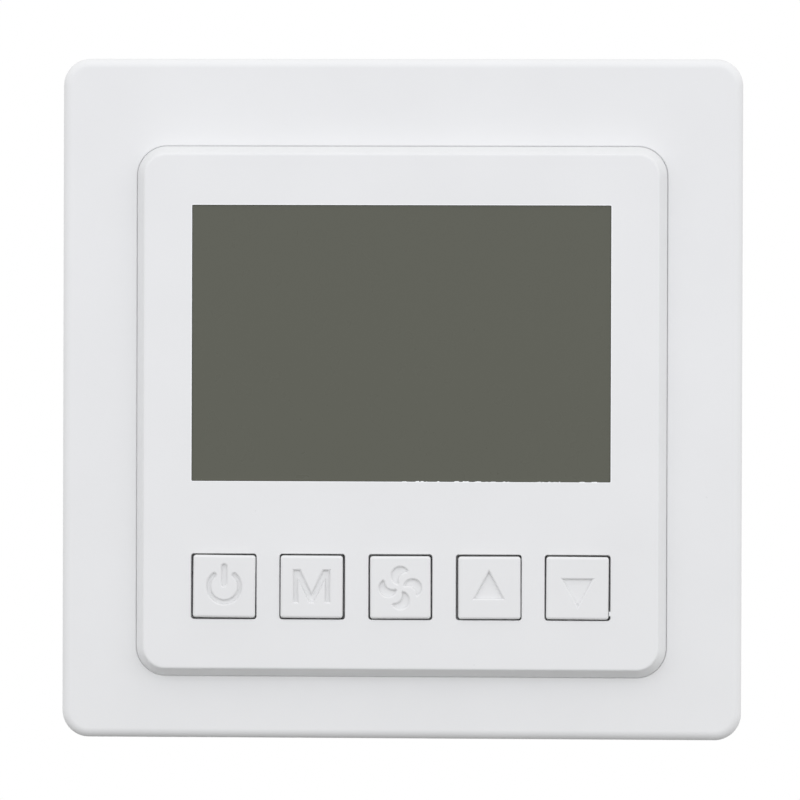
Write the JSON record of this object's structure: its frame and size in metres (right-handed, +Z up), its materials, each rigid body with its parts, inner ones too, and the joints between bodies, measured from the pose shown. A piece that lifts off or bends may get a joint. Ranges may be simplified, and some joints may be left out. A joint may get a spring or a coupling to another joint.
{
  "type": "wall thermostat",
  "caption": "Square white wall thermostat with a raised panel, a display window and a row of sprung keys, on a mounting plate with a rear housing and rising-cage wire terminals.",
  "frame": {"origin": "centre of the square face on the plane of the wall's surface", "axes": "+Z up the wall, -Y out of the wall towards the room, +Y into the wall box, +X to the right of someone facing the thermostat"},
  "size_m": [0.086, 0.0418, 0.086],
  "materials": {
    "white_plastic": "fine matte moulded white",
    "key_plastic": "fine matte moulded white",
    "inner_white": "plain moulded white",
    "display": "unlit olive grey liquid crystal behind its polariser",
    "clear_acrylic": "clear",
    "green_laminate": "green solder mask on glass laminate",
    "black_plastic": "black moulded",
    "brown_plastic": "brown moulded",
    "grey_rubber": "layered silicone rubber",
    "blue_plastic": "blue moulded",
    "green_plastic": "green moulded polyamide",
    "tin_plate": "tinned steel",
    "steel": "zinc plated",
    "brass": "plain brass"
  },
  "bodies": {
    "base": {"mounting_plate": "inner_white", "rear_housing": "inner_white", "box_screw_left": "steel", "box_screw_right": "steel", "power_board": "green_laminate", "transformer": "tin_plate", "capacitor": "black_plastic", "fuse": "clear_acrylic", "varistor": "blue_plastic", "header_socket": "black_plastic", "terminal_block": "green_plastic", "relay_1": "blue_plastic", "relay_2": "blue_plastic", "relay_3": "blue_plastic", "relay_4": "blue_plastic"},
    "front": {"outer_frame": "white_plastic", "centre_panel": "white_plastic", "display_glass": "display", "light_guide": "clear_acrylic", "display_holder": "inner_white", "backlight_lamp_left": "clear_acrylic", "backlight_lamp_right": "clear_acrylic", "contact_strip": "grey_rubber", "control_board": "green_laminate", "microcontroller": "black_plastic", "crystal": "tin_plate", "temperature_sensor": "black_plastic", "board_header": "black_plastic", "board_screw_1": "steel", "board_screw_2": "steel", "board_screw_3": "steel", "board_screw_4": "steel", "power_switch": "black_plastic", "mode_switch": "black_plastic", "fan_switch": "black_plastic", "up_switch": "black_plastic", "down_switch": "black_plastic"},
    "power_button": {"power_key": "key_plastic", "power_plunger": "brown_plastic"},
    "mode_button": {"mode_key": "key_plastic", "mode_plunger": "brown_plastic"},
    "fan_button": {"fan_key": "key_plastic", "fan_plunger": "brown_plastic"},
    "up_button": {"up_key": "key_plastic", "up_plunger": "brown_plastic"},
    "down_button": {"down_key": "key_plastic", "down_plunger": "brown_plastic"},
    "screw_1": {"terminal_screw_1": "steel"},
    "cage_1": {"terminal_cage_1": "brass"},
    "screw_2": {"terminal_screw_2": "steel"},
    "cage_2": {"terminal_cage_2": "brass"},
    "screw_3": {"terminal_screw_3": "steel"},
    "cage_3": {"terminal_cage_3": "brass"},
    "screw_4": {"terminal_screw_4": "steel"},
    "cage_4": {"terminal_cage_4": "brass"},
    "screw_5": {"terminal_screw_5": "steel"},
    "cage_5": {"terminal_cage_5": "brass"},
    "screw_6": {"terminal_screw_6": "steel"},
    "cage_6": {"terminal_cage_6": "brass"}
  },
  "joints": [
    {"name": "front_release", "type": "slide", "parent": "base", "child": "front", "axis": [0, -1, 0], "range_m": [0, 0.02]},
    {"name": "power_press", "type": "slide", "parent": "front", "child": "power_button", "axis": [0, 1, 0], "range_m": [0, 0.0005], "stiffness_N_per_m": 4000},
    {"name": "mode_press", "type": "slide", "parent": "front", "child": "mode_button", "axis": [0, 1, 0], "range_m": [0, 0.0005], "stiffness_N_per_m": 4000},
    {"name": "fan_press", "type": "slide", "parent": "front", "child": "fan_button", "axis": [0, 1, 0], "range_m": [0, 0.0005], "stiffness_N_per_m": 4000},
    {"name": "up_press", "type": "slide", "parent": "front", "child": "up_button", "axis": [0, 1, 0], "range_m": [0, 0.0005], "stiffness_N_per_m": 4000},
    {"name": "down_press", "type": "slide", "parent": "front", "child": "down_button", "axis": [0, 1, 0], "range_m": [0, 0.0005], "stiffness_N_per_m": 4000},
    {"name": "screw_1_turn", "type": "hinge", "parent": "base", "child": "screw_1", "pos_m": [-0.01792, 0.0274, -0.02075], "axis": [0, -1, 0], "range_deg": [0, 1800]},
    {"name": "cage_1_lift", "type": "slide", "parent": "base", "child": "cage_1", "axis": [0, 1, 0], "range_m": [0, 0.0025]},
    {"name": "screw_2_turn", "type": "hinge", "parent": "base", "child": "screw_2", "pos_m": [-0.01075, 0.0274, -0.02075], "axis": [0, -1, 0], "range_deg": [0, 1800]},
    {"name": "cage_2_lift", "type": "slide", "parent": "base", "child": "cage_2", "axis": [0, 1, 0], "range_m": [0, 0.0025]},
    {"name": "screw_3_turn", "type": "hinge", "parent": "base", "child": "screw_3", "pos_m": [-0.00358, 0.0274, -0.02075], "axis": [0, -1, 0], "range_deg": [0, 1800]},
    {"name": "cage_3_lift", "type": "slide", "parent": "base", "child": "cage_3", "axis": [0, 1, 0], "range_m": [0, 0.0025]},
    {"name": "screw_4_turn", "type": "hinge", "parent": "base", "child": "screw_4", "pos_m": [0.00358, 0.0274, -0.02075], "axis": [0, -1, 0], "range_deg": [0, 1800]},
    {"name": "cage_4_lift", "type": "slide", "parent": "base", "child": "cage_4", "axis": [0, 1, 0], "range_m": [0, 0.0025]},
    {"name": "screw_5_turn", "type": "hinge", "parent": "base", "child": "screw_5", "pos_m": [0.01075, 0.0274, -0.02075], "axis": [0, -1, 0], "range_deg": [0, 1800]},
    {"name": "cage_5_lift", "type": "slide", "parent": "base", "child": "cage_5", "axis": [0, 1, 0], "range_m": [0, 0.0025]},
    {"name": "screw_6_turn", "type": "hinge", "parent": "base", "child": "screw_6", "pos_m": [0.01792, 0.0274, -0.02075], "axis": [0, -1, 0], "range_deg": [0, 1800]},
    {"name": "cage_6_lift", "type": "slide", "parent": "base", "child": "cage_6", "axis": [0, 1, 0], "range_m": [0, 0.0025]}
  ],
  "couplings": [
    {"joint": "screw_1_turn", "follows": "cage_1_lift", "rad_per_m": 12566},
    {"joint": "screw_2_turn", "follows": "cage_2_lift", "rad_per_m": 12566},
    {"joint": "screw_3_turn", "follows": "cage_3_lift", "rad_per_m": 12566},
    {"joint": "screw_4_turn", "follows": "cage_4_lift", "rad_per_m": 12566},
    {"joint": "screw_5_turn", "follows": "cage_5_lift", "rad_per_m": 12566},
    {"joint": "screw_6_turn", "follows": "cage_6_lift", "rad_per_m": 12566}
  ]
}
